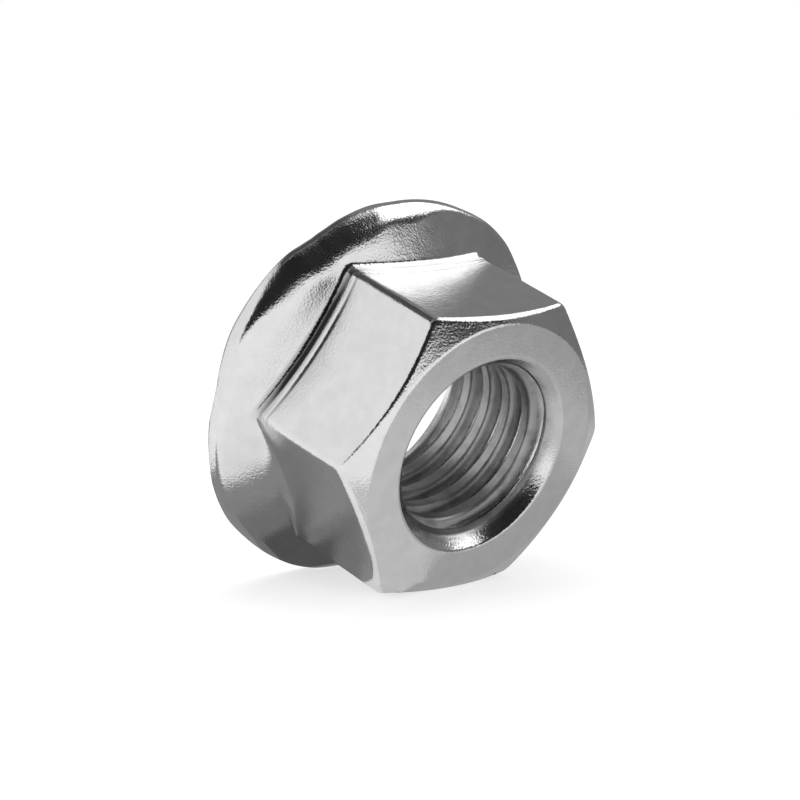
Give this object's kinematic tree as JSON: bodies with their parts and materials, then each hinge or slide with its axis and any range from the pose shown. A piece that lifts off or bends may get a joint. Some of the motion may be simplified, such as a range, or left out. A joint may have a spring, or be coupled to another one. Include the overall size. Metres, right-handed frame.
{
  "type": "hex flange nut",
  "caption": "Hexagon nut with an integral round flange, a threaded through bore, countersunk mouths and a chamfered hex end, bright zinc-plated steel.",
  "frame": {"origin": "centre of the bearing face, on the bore's axis", "axes": "+Z along the bore from the bearing face to the hex end; +X square to one flat of the hexagon"},
  "size_m": [0.026, 0.026, 0.0119],
  "materials": {
    "zinc_plated_steel": "bright zinc plating, semi-gloss, with a faintly mottled surface"
  },
  "bodies": {
    "root": {"hex_flange_nut": "zinc_plated_steel"}
  },
  "joints": []
}
